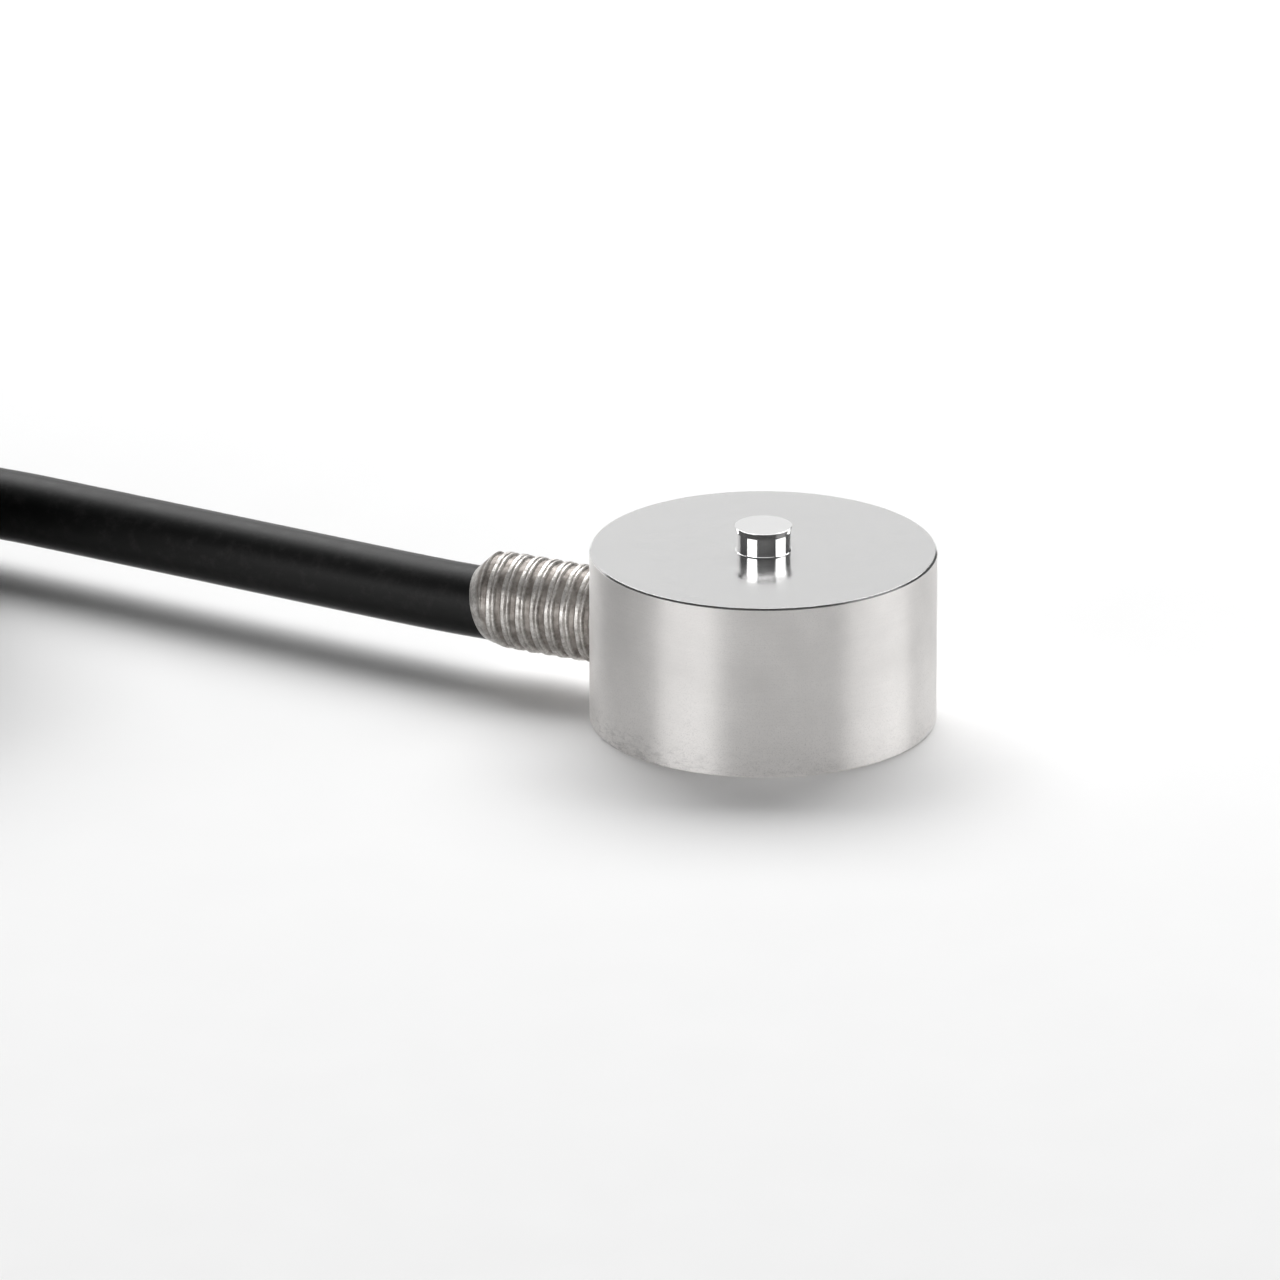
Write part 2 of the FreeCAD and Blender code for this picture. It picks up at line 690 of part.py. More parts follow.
def make_tie(doc, s, label, x, side):
    """Nylon tie: strap round one side of the hank, head on its +Y face and the cut end above it."""
    body = new_body(doc, label)
    wide, high = bundle(s)
    strap_wide = wide / 2 + s.tie_thickness
    strap_high = high / 2 + s.tie_thickness
    band = sketch_on(body, "strap_outline", "YZ_Plane")
    bevelled(band, strap_wide, strap_high, s.hank_bevel + s.tie_thickness * STRAP_BEND)
    bevelled(band, wide / 2, high / 2, s.hank_bevel)
    pad(body, "strap", band, s.tie_width, middle=True)
    block = sketch_on(body, "head_outline", "YZ_Plane")
    half = s.tie_head_height / 2
    head_face = strap_wide + s.tie_head_depth
    rectangle(block, strap_wide, head_face, -half, half)
    pad(body, "head", block, s.tie_head_width, middle=True)
    tail = sketch_on(body, "stub_outline", "YZ_Plane")
    middle_y = strap_wide + s.tie_head_depth / 2
    rectangle(
        tail, middle_y - s.tie_thickness / 2, middle_y + s.tie_thickness / 2, half, half + s.tie_stub
    )
    pad(body, "stub", tail, s.tie_width, middle=True)
    offset = (s.hank_fold - s.cable_dia / 2 + wide / 2) * side
    place(body, x, s.hank_y + offset, s.tie_thickness + high / 2)
    return body


def jacket_end():
    """Place of the jacket's end, the way it points, and the level direction beside it."""
    end = Vector(*TAIL_ROUTE[-1])
    heading = end - Vector(*TAIL_ROUTE[-2])
    heading.z = 0
    heading.normalize()
    return end, heading, Vector(-heading.y, heading.x, 0)


def make_sleeve(doc, s):
    """Heat-shrink sleeve over the end of the jacket and the start of the leads."""
    length = s.sleeve_grip + s.sleeve_reach
    tube = doc.addObject("Part::Cylinder", "sleeve_outside")
    tube.setExpression("Radius", (s.sleeve_dia / 2).text)
    tube.setExpression("Height", length.text)
    hole = doc.addObject("Part::Cylinder", "sleeve_inside")
    hole.setExpression("Radius", (s.cable_dia / 2 + s.cable_fit).text)
    hole.setExpression("Height", length.text)
    end, heading, _ = jacket_end()
    lie = Rotation(Vector(0, 0, 1), heading)
    for piece in (tube, hole):
        place(piece, -s.sleeve_grip * heading.x + end.x, -s.sleeve_grip * heading.y + end.y, end.z, lie)
    sleeve = doc.addObject("Part::Cut", "heat_shrink_sleeve")
    sleeve.Label = "heat_shrink_sleeve"
    sleeve.Base = tube
    sleeve.Tool = hole
    return sleeve


def beyond(along, beside, above):
    """A point seen from the jacket's end."""
    end, heading, across = jacket_end()
    return end + heading * along + across * beside + Vector(0, 0, above)


def lead_route(s, name, side, level):
    """A lead's way: straight out of the jacket at its place in the bundle, then spread."""
    beside = value(s.core_spacing) / 2 * side
    above = value(s.core_spacing) / 2 * level
    places = ((0.0, beside, above), (LEAD_STRAIGHT, beside, above)) + LEAD_SPREAD[name]
    return [beyond(*place_in_bundle) for place_in_bundle in places]


def make_lead(doc, label, route, diameter):
    """A thin wire of straight runs, mitred where it turns a little."""
    path = Part.makePolygon(route)
    heading = (route[1] - route[0]).normalize()
    section = Part.Wire(Part.Circle(route[0], heading, value(diameter) / 2).toShape())
    lead = doc.addObject("Part::Feature", label)
    lead.Label = label
    lead.Shape = path.makePipeShell([section], True, False, MITRED)
    return lead


def make_tip(doc, s, label, route):
    """Tinned strands straight on from the end of a lead."""
    tip = doc.addObject("Part::Cylinder", label)
    tip.Label = label
    tip.setExpression("Radius", expression(s.tip_dia / 2))
    tip.setExpression("Height", expression(s.tip_length))
    tip.Placement = Placement(route[-1], Rotation(Vector(0, 0, 1), route[-1] - route[-2]))
    return tip


def make_cell(doc, s):
    pieces = [make_body(doc, s), make_cover(doc, s), make_board(doc, s), make_jumpers(doc, s)]
    for number in range(1, GAUGE_COUNT + 1):
        pieces.append(make_gauge(doc, s, number))
    for label, angle in CHIP_ANGLES.items():
        pieces.append(make_chip(doc, s, label, angle))
    for colour, (side, level) in CORE_PLACES.items():
        pieces.append(make_core(doc, s, f"core_{colour}", side, level))
    return pieces + [make_plug(doc, s), make_nipple(doc, s)]


def make_cable(doc, s):
    hank = make_hank(doc, s)
    jacket_start = (-value(nipple_start(s) + s.plug_length), 0.0, bore_height(s).number)
    pieces = [
        hank,
        cut_clear(doc, "cable_run", (jacket_start,) + RUN_ROUTE, s.cable_dia, hank),
        cut_clear(doc, "cable_tail", TAIL_ROUTE, s.cable_dia, hank),
        make_tie(doc, s, "hank_tie_1", s.tie_far_x, 1),
        make_tie(doc, s, "hank_tie_2", s.tie_near_x, -1),
        make_sleeve(doc, s),
        make_lead(doc, "shield_drain", lead_route(s, "drain", 0, 0), s.drain_dia),
    ]
    for colour, (side, level) in CORE_PLACES.items():
        route = lead_route(s, colour, side, level)
        pieces.append(make_lead(doc, f"lead_{colour}", route, s.lead_dia))
        pieces.append(make_tip(doc, s, f"tip_{colour}", route))
    return pieces


def check(doc, pieces):
    """Stops on a failed feature or a sub-part that is not sound, before anything is written."""
    for thing in doc.Objects:
        if "Invalid" in thing.State or "Error" in thing.State:
            raise RuntimeError(f"{thing.Name} failed: {thing.State}")
    for piece in pieces:
        if piece.Shape.isNull() or not piece.Shape.isValid() or not piece.Shape.Solids:
            raise RuntimeError(f"{piece.Label} is not a sound solid")


def main():
    doc = FreeCAD.newDocument("load_cell")
    sizes = fill_sheet(doc)
    pieces = make_cell(doc, sizes) + make_cable(doc, sizes)
    doc.recompute()
    check(doc, pieces)
    os.makedirs("parts", exist_ok=True)
    for piece in pieces:
        piece.Shape.exportStep(f"parts/{piece.Label}.step")
        print(f"{piece.Label}: {len(piece.Shape.Solids)} solid(s), {piece.Shape.Volume:.3f} mm3")


main()
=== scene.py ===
import math

import bmesh
import bpy
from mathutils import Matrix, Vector, noise


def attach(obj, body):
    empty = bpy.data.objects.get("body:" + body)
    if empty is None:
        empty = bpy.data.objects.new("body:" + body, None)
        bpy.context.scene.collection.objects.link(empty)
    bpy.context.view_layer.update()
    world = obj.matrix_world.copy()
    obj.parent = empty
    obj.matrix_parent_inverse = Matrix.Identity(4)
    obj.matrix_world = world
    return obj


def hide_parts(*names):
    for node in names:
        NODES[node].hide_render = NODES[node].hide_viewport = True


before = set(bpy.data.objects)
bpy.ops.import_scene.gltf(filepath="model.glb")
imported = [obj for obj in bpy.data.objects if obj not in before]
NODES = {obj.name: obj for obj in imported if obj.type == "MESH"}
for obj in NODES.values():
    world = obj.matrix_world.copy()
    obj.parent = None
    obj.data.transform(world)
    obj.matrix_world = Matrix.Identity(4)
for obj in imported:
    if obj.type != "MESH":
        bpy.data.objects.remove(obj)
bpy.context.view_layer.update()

# Lengths are in millimetres until they reach Blender, which works in metres.
# The camera's distance, the lights' places and sizes, and the cord's exit and length are in metres already.
MM = 0.001

CAMERA_TURN = 26.0
CAMERA_TILT = 20.25
CAMERA_DISTANCE = 1.0
SENSOR_WIDTH = 36.0
FRAME_WIDTH = 77.46
# Middle of the picture, seen from the origin
AIM_RIGHT = -7.44
AIM_UP = 4.66

WORLD_LEVEL = 0.06
LIGHT_AIM_HEIGHT = 0.006
# Name, turn to the right of the camera, tilt above the floor, distance, width, height and power in watts
LIGHTS = (
    ("left_box", -50.0, 12.0, 0.5, 0.38, 0.2, 0.84),
    ("right_box", 81.0, 12.0, 0.5, 0.5, 0.2, 0.86),
    ("right_high_box", 94.0, 42.0, 0.6, 0.4, 0.28, 0.1),
    ("front_box", 0.0, 7.0, 1.2, 2.4, 0.28, 3.6),
    ("back_box", 203.0, 13.0, 0.8, 1.36, 0.34, 1.2),
    ("key_box", 177.0, 48.0, 0.7, 0.9, 0.44, 7.2),
)
FLOOR_HALF = 3000

# Points on each arc of an outline, and how far from the arc the points lie that keep its neighbours flat
ARC_STEPS = 6
ARC_GUARD = 0.03

# Faces of the body below this height have the side's finish
SIDE_FINISH_TOP = 10.7
# Faces above it and within this reach of the axis have the button's finish
BUTTON_FINISH_REACH = 1.87
# Level direction of the side that is scuffed most
SCUFF_SIDE = (-0.407, -0.914)

THREAD_PITCH = 1.0
THREAD_DIA = 5.85
THREAD_DEPTH = 0.23
THREAD_START = -10.0
# Share of one pitch, and share of the thread's depth below the crest
THREAD_STOPS = (
    (0.0, 0.1),
    (0.07, 0.1),
    (0.15, 0.45),
    (0.24, 0.0),
    (0.42, 0.0),
    (0.6, 1.0),
    (0.86, 0.92),
    (1.0, 0.1),
)
# Unevenness of the thread: how far a ridge strays, in pitches, and the scale and depth of its wear
THREAD_STRAY = 0.05
STRAY_SCALE = 0.8
COARSE_WEAR = (1.1, 0.03)
FINE_WEAR = (3.7, 0.02)

NIPPLE_HEIGHT = 4.8
NIPPLE_START = -8.35
NIPPLE_MOUTH = -18.5
BORE_DROP = 0.42
BORE_RADIUS = 2.23
MOUTH_LIP = 2.35
MOUTH_SLANT = math.radians(16.5)
MOUTH_TAPER = math.radians(27.5)

CABLE_DIA = 4.4
# The cable from the potted end in the nipple to the hank, with points on its straight stretch
RUN = (
    (-10.3, 0.0, 4.38),
    (-15.0, 0.0, 4.38),
    (-19.4, 0.0, 4.35),
    (-23.5, 0.33, 4.29),
    (-31.0, 1.11, 4.25),
    (-39.5, 2.0, 4.2),
    (-47.5, 2.85, 4.15),
    (-54.5, 3.58, 4.11),
    (-60.5, 3.97, 3.7),
    (-66.0, 4.0, 3.0),
)
# From the hank's inner bottom turn to the end of the jacket
TAIL = (
    (-106.3, -26.27, 3.3),
    (-96.9, -21.9, 2.6),
    (-91.9, -20.1, 2.6),
)
HANK_Y = -13.6
HANK_NEAR = -68.5
HANK_FAR = -110.5
# Fold radius and height of each turn, from the first to the last
TURNS = (
    (17.6, 3.0),
    (17.6, 7.4),
    (17.6, 11.8),
    (17.6, 16.2),
    (13.2, 16.2),
    (13.2, 11.8),
    (13.2, 7.4),
    (13.2, 3.0),
)
# Degrees between the points of a fold, and how many it has
FOLD_STEP = 30
FOLD_POINTS = 6
# Places of the points on the -Y side, from the hank's far end
CROSSING_POINTS = (4.5, 11.0, 18.0, 25.0, 32.0, 37.5)
# Stretches there in which a turn moves in, up or down
MOVE_IN = (18.0, 32.0)
MOVE_UP = (28.0, 42.0)
MOVE_DOWN = (8.0, 22.0)

# Ways of the leads, as the solids': along, beside and above the jacket's end
LEADS = {
    "red": ((0.0, 0.65, 0.65), (7.0, 0.65, 0.65), (14.0, 2.3, 0.3), (22.0, 5.2, -0.6)),
    "black": ((0.0, -0.65, 0.65), (7.0, -0.65, 0.65), (14.0, -2.0, 0.1), (22.0, -4.8, -0.9)),
    "green": ((0.0, 0.65, -0.65), (7.0, 0.65, -0.65), (14.0, 1.1, -1.0), (22.0, 2.1, -1.45)),
    "white": ((0.0, -0.65, -0.65), (7.0, -0.65, -0.65), (14.0, -0.9, -1.1), (22.0, -1.9, -1.5)),
}
DRAIN = ((0.0, 0.0, 0.0), (7.0, 0.0, 0.0), (14.0, 0.1, -0.45), (22.0, 0.1, -1.3))
LEAD_DIA = 1.1
DRAIN_DIA = 0.7
TIP_DIA = 0.6
TIP_LENGTH = 5.0
# Points of a tip as shares of its length, the first inside the lead
TIP_POINTS = (-0.1, 0.5, 1.0)
INSULATION = {
    "red": (0.5, 0.02, 0.015),
    "black": (0.012, 0.012, 0.012),
    "green": (0.01, 0.22, 0.05),
    "white": (0.75, 0.75, 0.72),
}

# Corners of a tie's mesh that lie this close are joined, so that its edges can be rounded
TIE_JOIN = 0.001
TIE_ROUNDING = 0.25


# Meshes


def add_mesh(name, points, faces):
    """A smooth mesh piece from points in millimetres, with its faces turned outwards."""
    mesh = bpy.data.meshes.new(name)
    mesh.from_pydata([Vector(point) * MM for point in points], [], faces)
    work = bmesh.new()
    work.from_mesh(mesh)
    bmesh.ops.remove_doubles(work, verts=work.verts, dist=1e-7)
    bmesh.ops.recalc_face_normals(work, faces=work.faces)
    work.to_mesh(mesh)
    work.free()
    mesh.shade_smooth()
    piece = bpy.data.objects.new(name, mesh)
    bpy.context.scene.collection.objects.link(piece)
    return piece


def rounded(corners):
    """Points of an outline whose corners are two coordinates and a radius each."""
    points = []
    for index, (x, y, radius) in enumerate(corners):
        corner = Vector((x, y))
        if radius == 0:
            points.append(corner)
            continue
        back = (Vector(corners[index - 1][:2]) - corner).normalized()
        onward = (Vector(corners[index + 1][:2]) - corner).normalized()
        half = back.angle(onward) / 2
        reach = radius / math.tan(half)
        start = corner + back * reach
        end = corner + onward * reach
        centre = corner + (back + onward).normalized() * (radius / math.sin(half))
        first = start - centre
        turn = first.angle_signed(end - centre)
        points.append(start + back * ARC_GUARD)
        for step in range(ARC_STEPS + 1):
            angle = -turn * step / ARC_STEPS
            cosine = math.cos(angle)
            sine = math.sin(angle)
            swung = Vector((first.x * cosine - first.y * sine, first.x * sine + first.y * cosine))
            points.append(centre + swung)
        points.append(end + onward * ARC_GUARD)
    return points


def lathe(name, outline, count, origin=(0, 0, 0), axis=(0, 0, 1), side=(1, 0, 0)):
    """Turns an outline of radius and height about an axis."""
    origin = Vector(origin)
    axis = Vector(axis)
    side = Vector(side)
    other = axis.cross(side)
    points = []
    rings = []
    for radius, height in outline:
        on_axis = abs(radius) < 1e-9
        ring = []
        for step in range(1 if on_axis else count):
            angle = 2 * math.pi * step / count
            out = side * math.cos(angle) + other * math.sin(angle)
            ring.append(len(points))
            points.append(origin + axis * height + out * radius)
        rings.append(ring)
    faces = []
    for low, high in zip(rings, rings[1:]):
        for step in range(count):
            after = (step + 1) % count
            corners = (
                low[step % len(low)],
                low[after % len(low)],
                high[after % len(high)],
                high[step % len(high)],
            )
            # A ring on the axis is one point, which a face has once
            faces.append(list(dict.fromkeys(corners)))
    return add_mesh(name, points, faces)


def spline(name, points, diameter):
    """A round wire or cable along control points."""
    curve = bpy.data.curves.new(name, "CURVE")
    curve.dimensions = "3D"
    line = curve.splines.new("NURBS")
    line.points.add(len(points) - 1)
    for point, place in zip(line.points, points):
        point.co = (*(Vector(place) * MM), 1.0)
    line.order_u = 3
    line.use_endpoint_u = True
    line.resolution_u = 8
    curve.bevel_depth = diameter / 2 * MM
    curve.bevel_resolution = 12
    curve.use_fill_caps = True
    piece = bpy.data.objects.new(name, curve)
    bpy.context.scene.collection.objects.link(piece)
    return piece


# The cell


def make_body():
    """Spring element with its load button, and the stepped cavity under the diaphragm."""
    # From the middle of the button over the rim and the base to the roof of the cavity
    corners = (
        (0.0, 12.35, 0),
        (1.75, 12.35, 0.03),
        (1.72, 12.27, 0.05),
        (1.64, 12.0, 0.4),
        (1.64, 10.8, 0.06),
        (10.38, 10.8, 0.02),
        (10.5, 10.68, 0.04),
        (10.5, 0.14, 0.05),
        (10.36, 0.0, 0.04),
        (8.85, 0.0, 0.02),
        (8.85, 1.15, 0),
        (8.2, 1.15, 0),
        (8.2, 7.8, 0),
        (7.3, 7.8, 0),
        (7.3, 8.8, 0),
        (6.9, 9.2, 0),
        (2.9, 9.2, 0),
        (2.5, 8.8, 0),
        (2.5, 8.3, 0),
        (0.0, 8.3, 0),
    )
    piece = lathe("body", rounded(corners), 360)
    piece.data.set_sharp_from_angle(angle=math.radians(35))
    return piece


def part_faces(piece):
    """Gives the faces of the body the places of its three finishes: side, flat top and button."""
    for face in piece.data.polygons:
        middle = face.center / MM
        reach = math.hypot(middle.x, middle.y)
        if middle.z < SIDE_FINISH_TOP:
            face.material_index = 0
        elif reach > BUTTON_FINISH_REACH:
            face.material_index = 1
        else:
            face.material_index = 2


def thread_drop(phase):
    """Depth below the crest at a share of one pitch: a thin lip, a seam, a broad crest, then the root."""
    for (start, low), (end, high) in zip(THREAD_STOPS, THREAD_STOPS[1:]):
        if phase <= end:
            eased = (1 - math.cos(math.pi * (phase - start) / (end - start))) / 2
            break
    return THREAD_DEPTH * (low + (high - low) * eased)


def larger_root(a, b, c):
    return (-b + math.sqrt(max(b * b - 4 * a * c, 0.0))) / (2 * a)


def mouth_edge(angle):
    """Place along the axis of the mouth's lip, which leans with the bevel."""
    sine = math.sin(angle)
    lean = 1 / math.cos(MOUTH_SLANT) ** 2
    a = lean * sine * sine + math.cos(angle) ** 2
    radius = larger_root(a, 2 * lean * BORE_DROP * sine, lean * BORE_DROP**2 - MOUTH_LIP**2)
    return NIPPLE_MOUTH - math.tan(MOUTH_SLANT) * (BORE_DROP + radius * sine)


def bevel_radius(x, angle):
    """Distance from the thread's axis at which the leaning bevel passes."""
    sine = math.sin(angle)
    taper = math.tan(MOUTH_TAPER)
    ahead = x - NIPPLE_MOUTH
    depth = -math.cos(MOUTH_SLANT) * ahead - math.sin(MOUTH_SLANT) * BORE_DROP
    rate = -math.sin(MOUTH_SLANT) * sine
    reach = MOUTH_LIP - taper * depth
    a = 1 - rate * rate * (1 + taper * taper)
    b = 2 * (BORE_DROP * sine - depth * rate + reach * taper * rate)
    c = ahead * ahead + BORE_DROP**2 - depth * depth - reach * reach
    return larger_root(a, b, c)


def worn_by(layer, place):
    scale, depth = layer
    return depth * noise.noise(place * scale)


def make_nipple():
    """Threaded outlet with worn crests, a leaning bevelled mouth and the bore."""
    around = 128
    rows = 340
    crest = THREAD_DIA / 2
    inner = crest - THREAD_DEPTH
    rings = [[] for _ in range(rows + 4)]
    for step in range(around):
        angle = 2 * math.pi * step / around
        cosine = math.cos(angle)
        sine = math.sin(angle)
        end = mouth_edge(angle)
        lip = NIPPLE_MOUTH - math.tan(MOUTH_SLANT) * BORE_RADIUS * sine
        bore = (BORE_RADIUS * cosine, NIPPLE_HEIGHT - BORE_DROP + BORE_RADIUS * sine)
        rings[0].append((NIPPLE_START, inner * cosine, NIPPLE_HEIGHT + inner * sine))
        for row in range(rows + 1):
            x = THREAD_START + (end - THREAD_START) * row / rows
            place = Vector((x, crest * cosine, crest * sine))
            stray = THREAD_STRAY * noise.noise(place * STRAY_SCALE)
            phase = (NIPPLE_START - x) / THREAD_PITCH + step / around + stray
            wear = worn_by(COARSE_WEAR, place) + worn_by(FINE_WEAR, place)
            radius = min(crest - thread_drop(phase % 1) + wear, bevel_radius(x, angle))
            rings[row + 1].append((x, radius * cosine, NIPPLE_HEIGHT + radius * sine))
        rings[rows + 2].append((lip, *bore))
        rings[rows + 3].append((NIPPLE_START, *bore))
    points = [point for ring in rings for point in ring]
    faces = []
    for ring in range(len(rings)):
        near = ring * around
        far = (ring + 1) % len(rings) * around
        for step in range(around):
            beside = (step + 1) % around
            faces.append((near + step, near + beside, far + beside, far + step))
    piece = add_mesh("nipple", points, faces)
    piece.data.set_sharp_from_angle(angle=math.radians(40))
    return piece


# The cable


def share(distance, start, end):
    return min(max((distance - start) / (end - start), 0.0), 1.0)


def fold(centre, radius, height, first):
    """Control points round half a turn, on the outline that touches the fold."""
    reach = radius / math.cos(math.radians(FOLD_STEP / 2))
    points = []
    for step in range(FOLD_POINTS):
        angle = math.radians(first + FOLD_STEP * (step + 0.5))
        points.append((centre + reach * math.cos(angle), HANK_Y + reach * math.sin(angle), height))
    return points


def hank():
    """Control points of the stowed cable's turns, which change places along the -Y side."""
    points = []
    for number, (radius, height) in enumerate(TURNS):
        inset = radius * math.tan(math.radians(FOLD_STEP / 2))
        for x in (HANK_NEAR - inset, (HANK_NEAR + HANK_FAR) / 2, HANK_FAR + inset):
            points.append((x, HANK_Y + radius, height))
        points += fold(HANK_FAR, radius, height, 90)
        if number == len(TURNS) - 1:
            break
        next_radius, next_height = TURNS[number + 1]
        if next_radius != radius:
            stretch = MOVE_IN
        elif next_height > height:
            stretch = MOVE_UP
        else:
            stretch = MOVE_DOWN
        for distance in CROSSING_POINTS:
            moved = share(distance, *stretch)
            reach = radius + (next_radius - radius) * moved
            level = height + (next_height - height) * moved
            points.append((HANK_FAR + distance, HANK_Y - reach, level))
        points += fold(HANK_NEAR, next_radius, next_height, -90)
    return points


def jacket_end():
    """Place of the jacket's end, the way it points, and the level direction beside it."""
    end = Vector(TAIL[-1])
    heading = (end - Vector(TAIL[-2])).normalized()
    return end, heading, Vector((-heading.y, heading.x, 0))


def beyond(along, beside, above):
    """A point seen from the jacket's end."""
    end, heading, across = jacket_end()
    return end + heading * along + across * beside + Vector((0, 0, above))


def make_sleeve():
    """Heat-shrink sleeve, tight on the jacket and drawn in on the leads past it."""
    end, heading, across = jacket_end()
    corners = (
        (2.24, -3.0, 0),
        (2.55, -3.0, 0.1),
        (2.58, -0.6, 0.8),
        (1.95, 1.6, 0.8),
        (1.88, 5.0, 0.1),
        (1.6, 5.0, 0.05),
        (1.62, 1.6, 0),
        (2.24, 0.2, 0),
        (2.24, -3.0, 0),
    )
    return lathe("sleeve", rounded(corners), 64, end, heading, across)


def make_leads():
    """The four leads and their tinned tips by colour, and the drain wire."""
    leads = {}
    tips = {}
    for colour, route in LEADS.items():
        points = [beyond(*place) for place in route]
        leads[colour] = spline(f"wire_{colour}", points, LEAD_DIA)
        ahead = (points[-1] - points[-2]).normalized() * TIP_LENGTH
        tip = [points[-1] + ahead * part for part in TIP_POINTS]
        tips[colour] = spline(f"strands_{colour}", tip, TIP_DIA)
    drain = spline("drain", [beyond(*place) for place in DRAIN], DRAIN_DIA)
    return leads, tips, drain


# Materials


class Finish:
    """A procedural material: a Principled shader and the nodes that feed it."""

    def __init__(self, name, metallic=0.0, specular=0.5):
        self.material = bpy.data.materials.new(name)
        self.material.use_nodes = True
        self.tree = self.material.node_tree
        self.shader = self.tree.nodes["Principled BSDF"]
        self.shader.inputs["Metallic"].default_value = metallic
        self.shader.inputs["Specular IOR Level"].default_value = specular

    def node(self, kind, **settings):
        made = self.tree.nodes.new(kind)
        for key, setting in settings.items():
            setattr(made, key, setting)
        return made

    def feed(self, socket, source):
        if isinstance(source, bpy.types.NodeSocket):
            self.tree.links.new(source, socket)
        else:
            socket.default_value = source

    def set(self, name, source):
        self.feed(self.shader.inputs[name], source)

    def maths(self, operation, *sources):
        made = self.node("ShaderNodeMath", operation=operation)
        for socket, source in zip(made.inputs, sources):
            self.feed(socket, source)
        return made.outputs["Value"]

    def weighed(self, first, first_weight, second, second_weight):
        """Sum of two values, each times its weight."""
        first_part = self.maths("MULTIPLY", first, first_weight)
        second_part = self.maths("MULTIPLY", second, second_weight)
        return self.maths("ADD", first_part, second_part)

    def place(self, scale=(1.0, 1.0, 1.0)):
        """Coordinates of the piece in millimetres, stretched."""
        mapping = self.node("ShaderNodeMapping")
        self.feed(mapping.inputs["Vector"], self.node("ShaderNodeTexCoord").outputs["Object"])
        mapping.inputs["Scale"].default_value = [factor / MM for factor in scale]
        return mapping.outputs["Vector"]

    def coordinates(self):
        split = self.node("ShaderNodeSeparateXYZ")
        self.feed(split.inputs["Vector"], self.place())
        return split.outputs

    def noise(self, scale=1.0, detail=3.0, stretch=(1.0, 1.0, 1.0), roughness=0.5):
        made = self.node("ShaderNodeTexNoise")
        self.feed(made.inputs["Vector"], self.place(stretch))
        made.inputs["Scale"].default_value = scale
        made.inputs["Detail"].default_value = detail
        made.inputs["Roughness"].default_value = roughness
        return made.outputs["Fac"]

    def span(self, source, low, high, to_low=0.0, to_high=1.0):
        """Maps a range of one value to another, without going past its ends."""
        made = self.node("ShaderNodeMapRange")
        self.feed(made.inputs["Value"], source)
        made.inputs["From Min"].default_value = low
        made.inputs["From Max"].default_value = high
        made.inputs["To Min"].default_value = to_low
        made.inputs["To Max"].default_value = to_high
        return made.outputs["Result"]

    def mix(self, factor, low, high):
        """A colour between two, which are tuples or come from other nodes."""
        made = self.node("ShaderNodeMix", data_type="RGBA")
        self.feed(made.inputs[0], factor)
        for socket, colour in ((made.inputs[6], low), (made.inputs[7], high)):
            self.feed(socket, (*colour, 1.0) if isinstance(colour, tuple) else colour)
        return made.outputs[2]

    def bump(self, height, strength, distance):
        made = self.node("ShaderNodeBump")
        self.feed(made.inputs["Height"], height)
        made.inputs["Strength"].default_value = strength
        made.inputs["Distance"].default_value = distance * MM
        self.set("Normal", made.outputs["Normal"])


def grey(level):
    """A slightly warm grey."""
    return (level, level * 0.978, level * 0.96)


def turned_steel(name):
    """Side of the turned body: specks, scuffs low down, fine lines that smear the light up and down, and
    painted light that makes the colour lighter towards the bottom.
    """
    finish = Finish(name, metallic=0.75)
    lines = finish.noise(1.0, 4.0, (0.12, 0.12, 15.0), 0.7)
    cloud = finish.noise(0.45, 4.0)
    specks = finish.noise(15.0, 2.0)
    tone = finish.weighed(lines, 0.4, cloud, 0.6)
    x, y, z = finish.coordinates()
    low = finish.span(z, 0.2, 2.2, 1.0, 0.0)
    toward = finish.weighed(x, SCUFF_SIDE[0], y, SCUFF_SIDE[1])
    rubbed = finish.maths("MULTIPLY", low, finish.span(toward, 8.6, 10.2, 0.4, 1.0))
    streaks = finish.noise(1.6, 5.0, (1.0, 1.0, 2.5), 0.7)
    scuffed = finish.maths("MULTIPLY", rubbed, finish.span(streaks, 0.48, 0.64))
    # Painted light: the side's colour is lighter towards the bottom and darker towards the top.
    painted_light_low_end = finish.mix(finish.span(tone, 0.34, 0.66), grey(0.92), grey(0.99))
    painted_light_high_end = finish.mix(finish.span(tone, 0.34, 0.66), grey(0.79), grey(0.87))
    height_painted_light = finish.mix(finish.span(z, 0.5, 6.5), painted_light_low_end, painted_light_high_end)
    dusty = finish.mix(finish.span(specks, 0.25, 0.5), grey(0.76), height_painted_light)
    finish.set("Base Color", finish.mix(finish.maths("MULTIPLY", scuffed, 0.5), dusty, grey(0.5)))
    finish.set("Roughness", finish.span(lines, 0.3, 0.7, 0.5, 0.56))
    finish.set("Anisotropic", 0.95)
    upright = finish.node("ShaderNodeCombineXYZ")
    upright.inputs["Z"].default_value = 1.0
    finish.set("Tangent", upright.outputs["Vector"])
    finish.bump(finish.maths("ADD", lines, finish.maths("MULTIPLY", specks, 0.6)), 0.08, 0.02)
    return finish.material


def ground_steel(name):
    """Flat top, ground fine with a few specks."""
    finish = Finish(name, metallic=0.93)
    specks = finish.noise(6.0, 2.0)
    cloud = finish.noise(0.45, 4.0)
    finish.set("Roughness", finish.span(cloud, 0.3, 0.7, 0.13, 0.17))
    speckled = finish.span(specks, 0.3, 0.72)
    finish.set("Base Color", finish.mix(speckled, (0.68, 0.678, 0.676), (0.74, 0.738, 0.736)))
    finish.bump(specks, 0.05, 0.02)
    return finish.material


